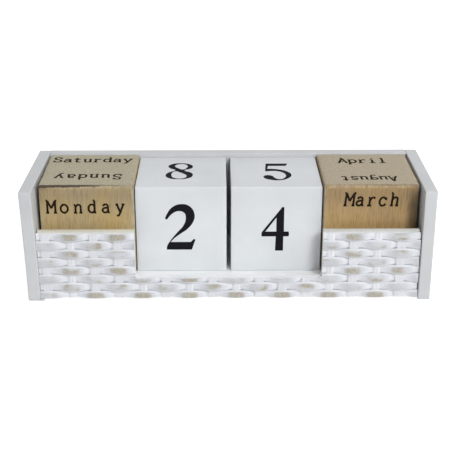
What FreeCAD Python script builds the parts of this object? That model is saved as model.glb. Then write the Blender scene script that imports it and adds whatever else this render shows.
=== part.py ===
"""Perpetual desk calendar: a low open case that holds four loose blocks, over a shallow drawer.

Frame: millimetres, +X to the right, the front faces -Y, +Z up. The origin is at the middle of the
footprint, on the surface that the case stands on.
"""
import FreeCAD, Part

import math
import os

import Sketcher

VEC = FreeCAD.Vector
CONSTRAIN = Sketcher.Constraint

# Driving sizes, millimetres.
SIZES = [
    ("wood_block", 70.0, "edge of the two natural wood cubes"),
    ("white_cube", 67.5, "edge of the two painted number cubes"),
    ("block_edge", 0.9, "rounding of the wood blocks' worn edges"),
    ("cube_edge", 0.5, "flat taken off the painted cubes' edges"),
    ("gap_left", 1.0, "left side panel to weekday block"),
    ("gap_weekday", 0.5, "weekday block to tens cube"),
    ("gap_cubes", 3.2, "tens cube to units cube"),
    ("gap_month", 0.9, "units cube to month block"),
    ("gap_right", 1.4, "month block to right side panel"),
    ("gap_behind", 0.3, "blocks to back panel"),
    ("finger_gap", 8.2, "drawer front to the wood blocks"),
    ("side_board", 9.0, "thickness of the side panels"),
    ("back_board", 9.0, "thickness of the back panel"),
    ("board_edge", 0.6, "flat taken off the case's edges"),
    ("rim", 0.5, "case rim above the wood blocks"),
    ("floor_height", 16.0, "top of the tray floor above the table"),
    ("floor_board", 3.0, "thickness of the tray floor"),
    ("groove_depth", 3.0, "depth of the grooves that hold the tray floor"),
    ("runner_width", 3.0, "width of the runner laths"),
    ("runner_height", 1.8, "height of the runner laths"),
    ("runner_setback", 8.0, "front end of the right runner behind the case front"),
    ("runner_play", 0.2, "drawer underside above the runners"),
    ("drawer_play", 0.8, "drawer front to each side panel when centred"),
    ("drawer_shift", 0.5, "how far the drawer rests to the left of centre"),
    ("drawer_recess", 0.3, "woven face behind the case front"),
    ("drawer_headroom", 0.5, "drawer walls under the tray floor, front under the floor's front edge"),
    ("front_board", 3.0, "thickness of the board behind the weave"),
    ("wing_height", 55.0, "top of the drawer front's wings above the table"),
    ("wing_width", 70.9, "width of each wing of the drawer front"),
    ("lip", 1.75, "middle of the drawer front above the tray floor"),
    ("cutout_round", 3.0, "rounding of the cut-out's lower corners"),
    ("wall_board", 4.0, "thickness of the drawer's walls"),
    ("bottom_board", 2.0, "thickness of the drawer's bottom"),
    ("woven_rows", 8, "rows of flat strands from the wings' top to the drawer's lower edge"),
    ("row_gap", 0.24, "strand to strand, one above the other"),
    ("top_margin", 4.0, "centre of the top row below the wings' top"),
    ("bottom_margin", 1.82, "centre of the bottom row above the drawer's lower edge"),
    ("strand_thickness", 1.2, "thickness of a flat woven strand"),
    ("stake_pitch", 17.34, "distance from one pair of stakes to the next"),
    ("side_margin", 6.9, "first pair of stakes from the left end of the weave"),
    ("reed_diameter", 1.7, "diameter of one reed of a stake"),
    ("reed_spacing", 2.1, "distance between the two reeds of a stake"),
    ("weave_play", 0.05, "reed to strand where they cross"),
    ("nail_diameter", 1.4, "diameter of the case's nails"),
    ("nail_length", 24.0, "length of the case's nails"),
    ("nail_inset", 14.0, "first and last nail from the panel's top and bottom"),
]

document = FreeCAD.newDocument("desk_calendar")
sheet = document.addObject("Spreadsheet::Sheet", "sizes")
for row, (alias, value, meaning) in enumerate(SIZES, start=1):
    sheet.set("A%d" % row, alias)
    sheet.set("B%d" % row, str(value))
    sheet.setAlias("B%d" % row, alias)
    sheet.set("C%d" % row, meaning)
document.recompute()

# Sizes that follow from the driving ones. Each is an expression on the sheet's cells.
DERIVED = {}


def size(name):
    """The expression for a driving size of the sheet or for a size that follows from them."""
    if name in DERIVED:
        return DERIVED[name]
    return "sizes." + name


def derive(name, formula):
    """Keep a derived size; the words of the formula that name sizes become expressions."""
    words = []
    for word in formula.split():
        words.append(size(word) if word[0].isalpha() else word)
    DERIVED[name] = "(" + " ".join(words) + ")"


def value_of(name):
    """The value in millimetres of a driving or derived size."""
    return float(sheet.evalExpression(size(name)))


derive("inside_width", "2 * wood_block + 2 * white_cube + gap_left + gap_weekday + gap_cubes"
       " + gap_month + gap_right")
derive("case_width", "inside_width + 2 * side_board")
derive("weave_wave", "0.5 * ( reed_diameter + strand_thickness ) + weave_play")
derive("weave_depth", "2 * weave_wave + strand_thickness")
derive("front_depth", "drawer_recess + weave_depth + front_board")
derive("case_depth", "front_depth + finger_gap + wood_block + gap_behind + back_board")
derive("case_height", "floor_height + wood_block + rim")
derive("front_y", "-0.5 * case_depth")
derive("back_face_y", "0.5 * case_depth - back_board")
derive("floor_underside", "floor_height - floor_board")
derive("floor_front_y", "front_y + front_depth + drawer_headroom")
derive("drawer_base", "runner_height + runner_play")
derive("drawer_width", "inside_width - 2 * drawer_play")
derive("cutout_width", "drawer_width - 2 * wing_width")
derive("middle_height", "floor_height + lip")
derive("board_face_y", "front_y + drawer_recess + weave_depth")
derive("board_back_y", "board_face_y + front_board")
derive("drawer_back_y", "back_face_y - drawer_headroom")
derive("weave_y", "board_face_y - 0.5 * weave_depth")
derive("row_pitch", "( wing_height - top_margin - bottom_margin - drawer_base ) / ( woven_rows - 1 )")
derive("strand_width", "row_pitch - row_gap")
derive("trim_reach", "3 * stake_pitch")
derive("wall_height", "floor_underside - drawer_headroom - drawer_base - bottom_board")

SIDES = (("left", -1), ("right", 1))


def new_body(label):
    """A part body whose label names its file. It may hold more than one solid."""
    body = document.addObject("PartDesign::Body", label)
    body.Label = label
    body.AllowCompound = True
    return body


def origin_plane(body, role):
    """One of the body's own origin planes or axes."""
    for feature in body.Origin.OriginFeatures:
        if getattr(feature, "Role", "") == role:
            return feature
    raise ValueError("no origin feature " + role)


def place(body, x="0", y="0", z="0"):
    """Bind the body's position to expressions in millimetres."""
    for axis, formula in (("x", x), ("y", y), ("z", z)):
        body.setExpression(".Placement.Base." + axis, formula)


def new_sketch(body, plane, name, offset=("0", "0", "0")):
    """A sketch on one of the body's origin planes, moved by expressions in the plane's own axes."""
    sketch = body.newObject("Sketcher::SketchObject", body.Label + "_" + name)
    sketch.AttachmentSupport = [(origin_plane(body, plane), "")]
    sketch.MapMode = "FlatFace"
    for axis, formula in zip("xyz", offset):
        sketch.setExpression(".AttachmentOffset.Base." + axis, formula)
    return sketch


def dimension(sketch, constraint, name, formula):
    """Add a named dimension and bind it to an expression."""
    index = sketch.addConstraint(constraint)
    sketch.renameConstraint(index, name)
    sketch.setExpression("Constraints." + name, formula)


def chain(sketch, points):
    """Straight lines through the points, closed, joined end to end; returns their indices."""
    lines = []
    for start, end in zip(points, points[1:] + points[:1]):
        lines.append(sketch.addGeometry(Part.LineSegment(VEC(*start), VEC(*end))))
    for first, second in zip(lines, lines[1:] + lines[:1]):
        sketch.addConstraint(CONSTRAIN("Coincident", first, 2, second, 1))
    return lines


def centred_rectangle(sketch, width, height):
    """A rectangle about the sketch's origin whose width and height are expressions."""
    bottom, right, top, left = chain(sketch, [(-10, -5, 0), (10, -5, 0), (10, 5, 0), (-10, 5, 0)])
    for line in (bottom, top):
        sketch.addConstraint(CONSTRAIN("Horizontal", line))
    for line in (right, left):
        sketch.addConstraint(CONSTRAIN("Vertical", line))
    sketch.addConstraint(CONSTRAIN("Symmetric", bottom, 1, right, 2, -1, 1))
    dimension(sketch, CONSTRAIN("DistanceX", bottom, 1, bottom, 2, 20), "width", width)
    dimension(sketch, CONSTRAIN("DistanceY", right, 1, right, 2, 10), "height", height)


def pad(body, sketch, length, name="pad"):
    """Extrude the sketch along its normal by an expression."""
    feature = body.newObject("PartDesign::Pad", body.Label + "_" + name)
    feature.Profile = sketch
    feature.setExpression("Length", length)
    return feature


def pocket_through(body, sketch, name):
    """Cut the sketch right through the body, both ways from the sketch's plane."""
    feature = body.newObject("PartDesign::Pocket", body.Label + "_" + name)
    feature.Profile = sketch
    feature.SideType = "Symmetric"
    feature.Type = "ThroughAll"
    return feature


def edges_of(feature):
    """The feature and the names of all its edges, as a fillet or chamfer wants them."""
    document.recompute()
    return feature, ["Edge%d" % number for number in range(1, len(feature.Shape.Edges) + 1)]


def round_all_edges(body, feature, radius):
    """Round every edge of a box, as handling does."""
    fillet = body.newObject("PartDesign::Fillet", body.Label + "_rounding")
    fillet.Base = edges_of(feature)
    fillet.setExpression("Radius", radius)


def ease_all_edges(body, feature, flat):
    """Take a narrow flat off every edge of a box, as sandpaper does before painting."""
    chamfer = body.newObject("PartDesign::Chamfer", body.Label + "_eased_edges")
    chamfer.Base = edges_of(feature)
    chamfer.setExpression("Size", flat)


def slab(label, width, depth, height):
    """A rectangular board or block: width along X, depth along Y, height up from the body's origin."""
    body = new_body(label)
    sketch = new_sketch(body, "XY_Plane", "outline")
    centred_rectangle(sketch, width, depth)
    return body, pad(body, sketch, height)


# ---------------------------------------------------------------- case

def cut_groove(body, plane, name, width, centre, face):
    """A groove for the tray floor along a board's inner face.

    width is the groove's length, centre its middle in the board's own frame, and face the distance
    from the board's middle plane to the bottom of the groove, signed.
    """
    middle = "(%s - 0.5 * %s)" % (size("floor_height"), size("floor_board"))
    sketch = new_sketch(body, plane, name, (centre, middle, face))
    centred_rectangle(sketch, width, size("floor_board"))
    pocket = body.newObject("PartDesign::Pocket", body.Label + "_" + name + "_cut")
    pocket.Profile = sketch
    pocket.setExpression("Length", size("groove_depth"))
    return pocket


def nail_heights():
    """Heights of the nails that run through each side panel into the back panel's end."""
    low = size("nail_inset")
    high = "(%s - %s)" % (size("case_height"), size("nail_inset"))
    return [low, "(0.5 * (%s + %s))" % (low, high), high]


def nail_circles(sketch, y):
    """One circle for each nail of a side panel, in a sketch whose axes are Y and Z."""
    for number, height in enumerate(nail_heights(), start=1):
        centre = VEC(float(sheet.evalExpression(y)), float(sheet.evalExpression(height)), 0)
        circle = sketch.addGeometry(Part.Circle(centre, VEC(0, 0, 1), value_of("nail_diameter") / 2))
        tag = str(number)
        dimension(sketch, CONSTRAIN("Diameter", circle, value_of("nail_diameter")),
                  "nail" + tag, size("nail_diameter"))
        dimension(sketch, CONSTRAIN("DistanceX", -1, 1, circle, 3, centre.x), "along" + tag, y)
        dimension(sketch, CONSTRAIN("DistanceY", -1, 1, circle, 3, centre.y), "up" + tag, height)


NAIL_Y = "(0.5 * %s - 0.5 * %s)" % (size("case_depth"), size("back_board"))


def make_side_panel(side, sign):
    """A side board, eased, grooved for the tray floor and drilled for the nails."""
    body, board = slab(side + "_side_panel", size("side_board"), size("case_depth"), size("case_height"))
    place(body, "%d * 0.5 * (%s + %s)" % (sign, size("inside_width"), size("side_board")))
    ease_all_edges(body, board, size("board_edge"))
    length = "(%s + %s - %s)" % (size("back_face_y"), size("groove_depth"), size("floor_front_y"))
    centre = "(0.5 * (%s + %s + %s))" % (size("back_face_y"), size("groove_depth"), size("floor_front_y"))
    wall = "%d * (0.5 * %s - %s)" % (-sign, size("side_board"), size("groove_depth"))
    groove = cut_groove(body, "YZ_Plane", "groove", length, centre, wall)
    groove.Reversed = sign < 0
    holes = new_sketch(body, "YZ_Plane", "nail_holes")
    nail_circles(holes, NAIL_Y)
    pocket_through(body, holes, "nail_holes_cut")
    return body


def make_back_panel():
    """The back board between the side panels, grooved along its front face, drilled at both ends."""
    body, board = slab("back_panel", size("inside_width"), size("back_board"), size("case_height"))
    place(body, y=NAIL_Y)
    ease_all_edges(body, board, size("board_edge"))
    wall = "(0.5 * %s - %s)" % (size("back_board"), size("groove_depth"))
    groove = cut_groove(body, "XZ_Plane", "groove", size("inside_width"), "0", wall)
    groove.Reversed = True
    reach = "(%s - %s)" % (size("nail_length"), size("side_board"))
    for side, sign in SIDES:
        end = "%d * 0.5 * %s" % (sign, size("inside_width"))
        holes = new_sketch(body, "YZ_Plane", side + "_nail_holes", ("0", "0", end))
        nail_circles(holes, "0")
        drill = body.newObject("PartDesign::Pocket", "back_panel_%s_nail_holes_cut" % side)
        drill.Profile = holes
        drill.setExpression("Length", reach)
        drill.Reversed = sign < 0
    return body


def make_case_nails():
    """Two columns of nails, heads flush with the outer faces of the side panels."""
    body = new_body("case_nails")
    for side, sign in SIDES:
        head = "%d * 0.5 * %s" % (sign, size("case_width"))
        sketch = new_sketch(body, "YZ_Plane", side + "_nails", ("0", "0", head))
        nail_circles(sketch, NAIL_Y)
        nails = pad(body, sketch, size("nail_length"), side + "_nails_pad")
        nails.Reversed = sign > 0
    return body


def make_tray_floor():
    """The thin board that the blocks stand on, let into the grooves of the sides and the back."""
    width = "(%s + 2 * %s)" % (size("inside_width"), size("groove_depth"))
    depth = "(%s + %s - %s)" % (size("back_face_y"), size("groove_depth"), size("floor_front_y"))
    body, _ = slab("tray_floor", width, depth, size("floor_board"))
    centre = "0.5 * (%s + %s + %s)" % (size("back_face_y"), size("groove_depth"), size("floor_front_y"))
    place(body, y=centre, z=size("floor_underside"))
    return body


def make_runner(side, sign):
    """A lath along the foot of a side panel, under the drawer. The right one starts further back."""
    start = size("front_y")
    if sign > 0:
        start = "(%s + %s)" % (size("front_y"), size("runner_setback"))
    length = "(%s - %s)" % (size("back_face_y"), start)
    body, _ = slab(side + "_runner", size("runner_width"), length, size("runner_height"))
    place(body, "%d * 0.5 * (%s - %s)" % (sign, size("inside_width"), size("runner_width")),
          "0.5 * (%s + %s)" % (size("back_face_y"), start))
    return body


# ---------------------------------------------------------------- drawer

DRAWER_X = "-1 * " + size("drawer_shift")
REED_FLATS = 8


def front_outline(sketch):
    """The drawer front seen from the front: two wings joined by a low middle with rounded corners."""
    half = value_of("drawer_width") / 2
    inner = value_of("cutout_width") / 2
    base = value_of("drawer_base")
    low = value_of("middle_height")
    high = value_of("wing_height")
    turn = value_of("cutout_round")

    def line(x0, z0, x1, z1):
        return sketch.addGeometry(Part.LineSegment(VEC(x0, z0, 0), VEC(x1, z1, 0)))

    def corner(x, z, start, end):
        circle = Part.Circle(VEC(x, z, 0), VEC(0, 0, 1), turn)
        return sketch.addGeometry(Part.ArcOfCircle(circle, start, end))

    bottom = line(-half, base, half, base)
    right_end = line(half, base, half, high)
    right_top = line(half, high, inner, high)
    right_drop = line(inner, high, inner, low + turn)
    right_corner = corner(inner - turn, low + turn, 1.5 * math.pi, 2 * math.pi)
    middle = line(inner - turn, low, turn - inner, low)
    left_corner = corner(turn - inner, low + turn, math.pi, 1.5 * math.pi)
    left_drop = line(-inner, low + turn, -inner, high)
    left_top = line(-inner, high, -half, high)
    left_end = line(-half, high, -half, base)
    for first, second in ((bottom, right_end), (right_end, right_top), (right_top, right_drop),
                          (left_drop, left_top), (left_top, left_end), (left_end, bottom)):
        sketch.addConstraint(CONSTRAIN("Coincident", first, 2, second, 1))
    sketch.addConstraint(CONSTRAIN("Tangent", right_drop, 2, right_corner, 2))
    sketch.addConstraint(CONSTRAIN("Tangent", right_corner, 1, middle, 1))
    sketch.addConstraint(CONSTRAIN("Tangent", middle, 2, left_corner, 2))
    sketch.addConstraint(CONSTRAIN("Tangent", left_corner, 1, left_drop, 1))
    for level in (right_top, middle, left_top):
        sketch.addConstraint(CONSTRAIN("Horizontal", level))
    for upright in (right_end, right_drop, left_drop, left_end):
        sketch.addConstraint(CONSTRAIN("Vertical", upright))
    sketch.addConstraint(CONSTRAIN("Symmetric", bottom, 1, bottom, 2, -2))
    sketch.addConstraint(CONSTRAIN("Symmetric", right_drop, 1, left_drop, 2, -2))
    sketch.addConstraint(CONSTRAIN("Equal", right_corner, left_corner))
    dimension(sketch, CONSTRAIN("Radius", right_corner, turn), "corner", size("cutout_round"))
    dimension(sketch, CONSTRAIN("DistanceX", bottom, 1, bottom, 2, 2 * half), "width",
              size("drawer_width"))
    dimension(sketch, CONSTRAIN("DistanceX", left_drop, 2, right_drop, 1, 2 * inner), "cutout",
              size("cutout_width"))
    dimension(sketch, CONSTRAIN("DistanceY", -1, 1, bottom, 1, base), "base", size("drawer_base"))
    dimension(sketch, CONSTRAIN("DistanceY", -1, 1, middle, 1, low), "low", size("middle_height"))
    dimension(sketch, CONSTRAIN("DistanceY", -1, 1, right_end, 2, high), "high", size("wing_height"))


def trim_to_front(body):
    """Cut away all of a woven piece that lies outside the drawer front's outline."""
    sketch = new_sketch(body, "XZ_Plane", "trim")
    front_outline(sketch)
    reach = value_of("trim_reach")
    half = value_of("drawer_width") / 2 + reach
    high = value_of("wing_height") + reach
    frame = chain(sketch, [(-half, -reach, 0), (half, -reach, 0), (half, high, 0), (-half, high, 0)])
    bottom, right, top, left = frame
    sketch.addConstraint(CONSTRAIN("Horizontal", top))
    for line in (right, left):
        sketch.addConstraint(CONSTRAIN("Vertical", line))
    sketch.addConstraint(CONSTRAIN("Symmetric", bottom, 1, bottom, 2, -2))
    dimension(sketch, CONSTRAIN("DistanceX", bottom, 1, bottom, 2, 2 * half), "frame_width",
              "%s + 2 * %s" % (size("drawer_width"), size("trim_reach")))
    dimension(sketch, CONSTRAIN("DistanceY", -1, 1, top, 1, high), "frame_top",
              "%s + %s" % (size("wing_height"), size("trim_reach")))
    dimension(sketch, CONSTRAIN("DistanceY", bottom, 1, -1, 1, reach), "frame_drop", size("trim_reach"))
    return pocket_through(body, sketch, "trim_cut")


def make_front_board():
    """The plain board behind the weave. Its bare top edge shows along the wings."""
    body = new_body("drawer_front_board")
    sketch = new_sketch(body, "XZ_Plane", "outline")
    front_outline(sketch)
    board = pad(body, sketch, size("front_board"))
    board.Reversed = True
    place(body, DRAWER_X, size("board_face_y"))
    return body


def wave_line(sketch):
    """One wave of a strand, from the crest in front of a stake to the next crest, as three arcs."""
    pitch = value_of("stake_pitch")
    wave = value_of("weave_wave")
    radius = (pitch * pitch / 4 + wave * wave) / (2 * wave)
    turn = math.asin(pitch / 2 / radius)
    up = math.pi / 2

    def arc(x, y, start, end):
        circle = Part.Circle(VEC(x, y, 0), VEC(0, 0, 1), radius)
        return sketch.addGeometry(Part.ArcOfCircle(circle, start, end))

    crest = arc(0, radius - wave, -up, turn - up)
    trough = arc(pitch, wave - radius, up - turn, up + turn)
    next_crest = arc(2 * pitch, radius - wave, -up - turn, -up)
    sketch.addConstraint(CONSTRAIN("Tangent", crest, 2, trough, 2))
    sketch.addConstraint(CONSTRAIN("Tangent", trough, 1, next_crest, 1))
    sketch.addConstraint(CONSTRAIN("PointOnObject", crest, 1, -2))
    sketch.addConstraint(CONSTRAIN("PointOnObject", crest, 3, -2))
    sketch.addConstraint(CONSTRAIN("PointOnObject", crest, 2, -1))
    sketch.addConstraint(CONSTRAIN("PointOnObject", next_crest, 1, -1))
    sketch.addConstraint(CONSTRAIN("Vertical", next_crest, 3, next_crest, 2))
    dimension(sketch, CONSTRAIN("DistanceY", crest, 1, -1, 1, wave), "wave", size("weave_wave"))
    dimension(sketch, CONSTRAIN("DistanceX", -1, 1, crest, 2, 0.5 * pitch), "half_pitch",
              "0.5 * " + size("stake_pitch"))
    dimension(sketch, CONSTRAIN("DistanceX", -1, 1, next_crest, 1, 1.5 * pitch), "long_pitch",
              "1.5 * " + size("stake_pitch"))
    dimension(sketch, CONSTRAIN("DistanceX", -1, 1, next_crest, 2, 2 * pitch), "double_pitch",
              "2 * " + size("stake_pitch"))


def make_weave_row(number):
    """One flat strand, over one stake and under the next, trimmed to the drawer front's outline."""
    body = new_body("weave_row_%d" % number)
    height = "(%s - %s - %d * %s)" % (size("wing_height"), size("top_margin"), number - 1,
                                     size("row_pitch"))
    stakes_before = 1 if number % 2 else 2
    start = "(%s - 0.5 * %s - %d * %s)" % (size("side_margin"), size("drawer_width"), stakes_before,
                                           size("stake_pitch"))
    path = new_sketch(body, "XY_Plane", "path", (start, "0", height))
    wave_line(path)
    section = new_sketch(body, "YZ_Plane", "section", ("-1 * " + size("weave_wave"), height, start))
    centred_rectangle(section, size("strand_thickness"), size("strand_width"))
    document.recompute()
    wave = body.newObject("PartDesign::AdditivePipe", body.Label + "_wave")
    wave.Profile = section
    wave.Spine = path
    document.recompute()
    strand = body.newObject("PartDesign::LinearPattern", body.Label + "_strand")
    strand.Originals = [wave]
    strand.Direction = (origin_plane(body, "X_Axis"), [""])
    strand.Mode = "Spacing"
    strand.setExpression("Offset", "2 * " + size("stake_pitch"))
    first = float(sheet.evalExpression(start))
    strand.Occurrences = math.ceil((value_of("drawer_width") / 2 - first) / (2 * value_of("stake_pitch")))
    body.Tip = strand
    trim_to_front(body)
    place(body, DRAWER_X, size("weave_y"))
    return body


def shaved_reed(sketch, x, radius):
    """A reed's section, shaved to equal flats inside a circle; returns the circle."""
    circle = sketch.addGeometry(Part.Circle(VEC(x, 0, 0), VEC(0, 0, 1), radius), True)
    step = 2 * math.pi / REED_FLATS
    turns = [(number - 0.5) * step - math.pi / 2 for number in range(REED_FLATS)]
    flats = chain(sketch, [(x + radius * math.cos(turn), radius * math.sin(turn), 0) for turn in turns])
    for flat in flats:
        sketch.addConstraint(CONSTRAIN("PointOnObject", flat, 1, circle))
    for flat in flats[1:]:
        sketch.addConstraint(CONSTRAIN("Equal", flats[0], flat))
    sketch.addConstraint(CONSTRAIN("Horizontal", flats[0]))
    return circle


def make_weave_stakes():
    """Upright pairs of reeds that the strands are woven on."""
    body = new_body("weave_stakes")
    first = "%s - 0.5 * %s" % (size("side_margin"), size("drawer_width"))
    sketch = new_sketch(body, "XY_Plane", "reeds", (first, "0", "0"))
    radius = value_of("reed_diameter") / 2
    apart = value_of("reed_spacing") / 2
    left = shaved_reed(sketch, -apart, radius)
    right = shaved_reed(sketch, apart, radius)
    sketch.addConstraint(CONSTRAIN("Symmetric", left, 3, right, 3, -1, 1))
    sketch.addConstraint(CONSTRAIN("Equal", left, right))
    sketch.addConstraint(CONSTRAIN("PointOnObject", left, 3, -1))
    dimension(sketch, CONSTRAIN("Diameter", left, 2 * radius), "reed", size("reed_diameter"))
    dimension(sketch, CONSTRAIN("DistanceX", left, 3, right, 3, 2 * apart), "apart", size("reed_spacing"))
    pair = pad(body, sketch, size("wing_height"), "pair")
    document.recompute()
    stakes = body.newObject("PartDesign::LinearPattern", "weave_stakes_row")
    stakes.Originals = [pair]
    stakes.Direction = (origin_plane(body, "X_Axis"), [""])
    stakes.Mode = "Spacing"
    stakes.setExpression("Offset", size("stake_pitch"))
    room = value_of("drawer_width") - value_of("side_margin") - apart - radius
    stakes.Occurrences = int(room / value_of("stake_pitch")) + 1
    body.Tip = stakes
    trim_to_front(body)
    place(body, DRAWER_X, size("weave_y"))
    return body


def make_drawer_box():
    """The shallow tray behind the drawer front: bottom, two side walls and a back wall."""
    depth = "(%s - %s)" % (size("drawer_back_y"), size("board_back_y"))
    middle = "0.5 * (%s + %s)" % (size("drawer_back_y"), size("board_back_y"))
    floor_z = "(%s + %s)" % (size("drawer_base"), size("bottom_board"))
    bottom, _ = slab("drawer_bottom", size("drawer_width"), depth, size("bottom_board"))
    place(bottom, DRAWER_X, middle, size("drawer_base"))
    walls = [bottom]
    for side, sign in SIDES:
        wall, _ = slab("drawer_%s_wall" % side, size("wall_board"), depth, size("wall_height"))
        across = "%d * 0.5 * (%s - %s)" % (sign, size("drawer_width"), size("wall_board"))
        place(wall, DRAWER_X + " + " + across, middle, floor_z)
        walls.append(wall)
    width = "(%s - 2 * %s)" % (size("drawer_width"), size("wall_board"))
    back, _ = slab("drawer_back_wall", width, size("wall_board"), size("wall_height"))
    place(back, DRAWER_X, "%s - 0.5 * %s" % (size("drawer_back_y"), size("wall_board")), floor_z)
    walls.append(back)
    return walls


# ---------------------------------------------------------------- blocks

def make_blocks():
    """The four loose cubes in a row on the tray floor, backs in line just off the back panel."""
    blocks = []
    left = "-0.5 * " + size("inside_width")
    for label, edge, gap in (("weekday_block", "wood_block", "gap_left"),
                             ("tens_cube", "white_cube", "gap_weekday"),
                             ("units_cube", "white_cube", "gap_cubes"),
                             ("month_block", "wood_block", "gap_month")):
        body, cube = slab(label, size(edge), size(edge), size(edge))
        if edge == "wood_block":
            round_all_edges(body, cube, size("block_edge"))
        else:
            ease_all_edges(body, cube, size("cube_edge"))
        left = "%s + %s" % (left, size(gap))
        place(body, "%s + 0.5 * %s" % (left, size(edge)),
              "%s - %s - 0.5 * %s" % (size("back_face_y"), size("gap_behind"), size(edge)),
              size("floor_height"))
        left = "%s + %s" % (left, size(edge))
        blocks.append(body)
    return blocks


bodies = [make_side_panel(side, sign) for side, sign in SIDES]
bodies += [make_back_panel(), make_tray_floor(), make_case_nails()]
bodies += [make_runner(side, sign) for side, sign in SIDES]
bodies += [make_front_board(), make_weave_stakes()]
bodies += [make_weave_row(number) for number in range(1, int(value_of("woven_rows")) + 1)]
bodies += make_drawer_box()
bodies += make_blocks()
document.recompute()

for item in document.Objects:
    if "Invalid" in item.State or "Error" in item.State:
        raise RuntimeError("%s did not build: %s" % (item.Label, item.State))
for body in bodies:
    if body.Shape.isNull() or not body.Shape.isValid():
        raise RuntimeError(body.Label + " has no valid shape")

os.makedirs("parts", exist_ok=True)
for body in bodies:
    body.Shape.exportStep("parts/%s.step" % body.Label)
    print("%-20s %2d solids %10.1f mm3" % (body.Label, len(body.Shape.Solids), body.Shape.Volume))
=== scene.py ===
"""Looks of the desk calendar with drawer: boards, blocks, woven front, ink, light and camera.

Metres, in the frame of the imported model: +X right, the front faces -Y, +Z up.
"""
from contextlib import contextmanager
import math

import bmesh
import bpy
from mathutils import Matrix, Vector, noise


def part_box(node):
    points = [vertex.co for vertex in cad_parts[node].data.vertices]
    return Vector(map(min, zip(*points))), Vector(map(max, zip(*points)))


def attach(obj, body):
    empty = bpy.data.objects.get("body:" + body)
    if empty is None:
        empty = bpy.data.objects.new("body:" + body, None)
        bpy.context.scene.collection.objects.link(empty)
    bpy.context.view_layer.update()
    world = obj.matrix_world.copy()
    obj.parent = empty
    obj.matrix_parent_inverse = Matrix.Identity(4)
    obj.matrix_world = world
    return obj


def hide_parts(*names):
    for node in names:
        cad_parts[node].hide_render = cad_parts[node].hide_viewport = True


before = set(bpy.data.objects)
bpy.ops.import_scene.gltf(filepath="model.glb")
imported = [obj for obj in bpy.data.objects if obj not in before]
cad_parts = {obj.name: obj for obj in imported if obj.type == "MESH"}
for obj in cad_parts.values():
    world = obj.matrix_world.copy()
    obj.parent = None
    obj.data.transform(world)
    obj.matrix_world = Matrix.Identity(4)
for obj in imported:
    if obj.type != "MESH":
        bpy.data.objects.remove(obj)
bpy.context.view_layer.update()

MM = 0.001
ROW_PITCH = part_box("weave_row_1")[1].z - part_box("weave_row_2")[1].z


# ---------------- colour and nodes

FINISH_IOR = 1.48
INK_IOR = 1.2


def srgb(code):
    """A hex colour as it is seen, turned to the linear colour that a shader wants."""
    channels = [int(code[place:place + 2], 16) / 255 for place in (1, 3, 5)]
    linear = [c / 12.92 if c <= 0.04045 else ((c + 0.055) / 1.055) ** 2.4 for c in channels]
    return (*linear, 1.0)


def add(tree, kind, inputs=None, stops=None, **properties):
    """Adds a node and returns its outputs. inputs gives, by an input's name or number, a value or
    the output that feeds it; stops are the (position, colour or grey) ends of a colour ramp."""
    node = tree.nodes.new("ShaderNode" + kind)
    for name, value in properties.items():
        setattr(node, name, value)
    for where, value in (inputs or {}).items():
        if isinstance(value, bpy.types.NodeSocket):
            tree.links.new(value, node.inputs[where])
        else:
            node.inputs[where].default_value = value
    if stops:
        for stop, (position, colour) in zip(node.color_ramp.elements, stops):
            stop.position = position
            stop.color = srgb(colour) if isinstance(colour, str) else (colour, colour, colour, 1.0)
    return node.outputs


def new_material(name, roughness, ior=FINISH_IOR):
    """A material with only its shader and output."""
    material = bpy.data.materials.new(name)
    material.use_nodes = True
    tree = material.node_tree
    tree.nodes.clear()
    surface = add(tree, "BsdfPrincipled", {"Roughness": roughness, "IOR": ior})
    add(tree, "OutputMaterial", {"Surface": surface[0]})
    return material, tree, surface[0].node


def place_on_piece(tree):
    """Where a place on the piece is, by X, Y and Z."""
    return add(tree, "SeparateXYZ", {0: add(tree, "TexCoord")["Object"]})


def lumps(tree, sizes_mm, detail=3.0, roughness=0.5):
    """Soft noise, 0 to 1, with lumps of these sizes along X, Y and Z."""
    scale = tuple(1 / (size * MM) for size in sizes_mm)
    scaled = add(tree, "Mapping", {"Vector": add(tree, "TexCoord")["Object"], "Scale": scale})[0]
    return add(tree, "TexNoise", {"Vector": scaled, "Scale": 1.0, "Detail": detail,
                                  "Roughness": roughness})[0]


def product(tree, *values):
    """The values multiplied together."""
    result = values[0]
    for value in values[1:]:
        result = add(tree, "Math", {0: result, 1: value}, operation="MULTIPLY")[0]
    return result


def zone(tree, *edges):
    """How far a place lies within a zone with soft edges. Each edge gives a measure, where on it
    the zone begins and where it is full, and then its value at both, where that isn't 0 and 1."""
    return product(tree, *[add(tree, "MapRange", dict(enumerate(edge)))[0] for edge in edges])


def lay(tree, tone, colour, *shares, blend="MIX"):
    """A tone with a colour laid over it, as far as all the shares let it."""
    colour = srgb(colour) if isinstance(colour, str) else colour
    return add(tree, "Mix", {0: product(tree, *shares), 6: tone, 7: colour}, data_type="RGBA",
               blend_type=blend)[2]


def finish_surface(tree, shader, colour, height, relief_mm, strength):
    """Connects the colour and a fine relief to the shader."""
    tree.links.new(colour, shader.inputs["Base Color"])
    bump = add(tree, "Bump", {"Height": height, "Distance": relief_mm * MM, "Strength": strength})
    tree.links.new(bump[0], shader.inputs["Normal"])


# ---------------- finishes

def painted_board():
    """Off-white satin paint on fibreboard, rolled on: nearly even, with faint roller stipple and
    slightly greyer drifts, and a soft low sheen."""
    material, tree, shader = new_material("paint_offwhite_rolled_on_fibreboard", roughness=0.45)
    tone = add(tree, "ValToRGB", {0: lumps(tree, (38, 38, 55), detail=4, roughness=0.6)},
               stops=[(0.30, "#c1c3c6"), (0.70, "#caccce")])[0]
    stipple = lumps(tree, (0.9, 0.9, 0.9), detail=2)
    finish_surface(tree, shader, tone, stipple, relief_mm=0.05, strength=0.3)
    return material


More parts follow.
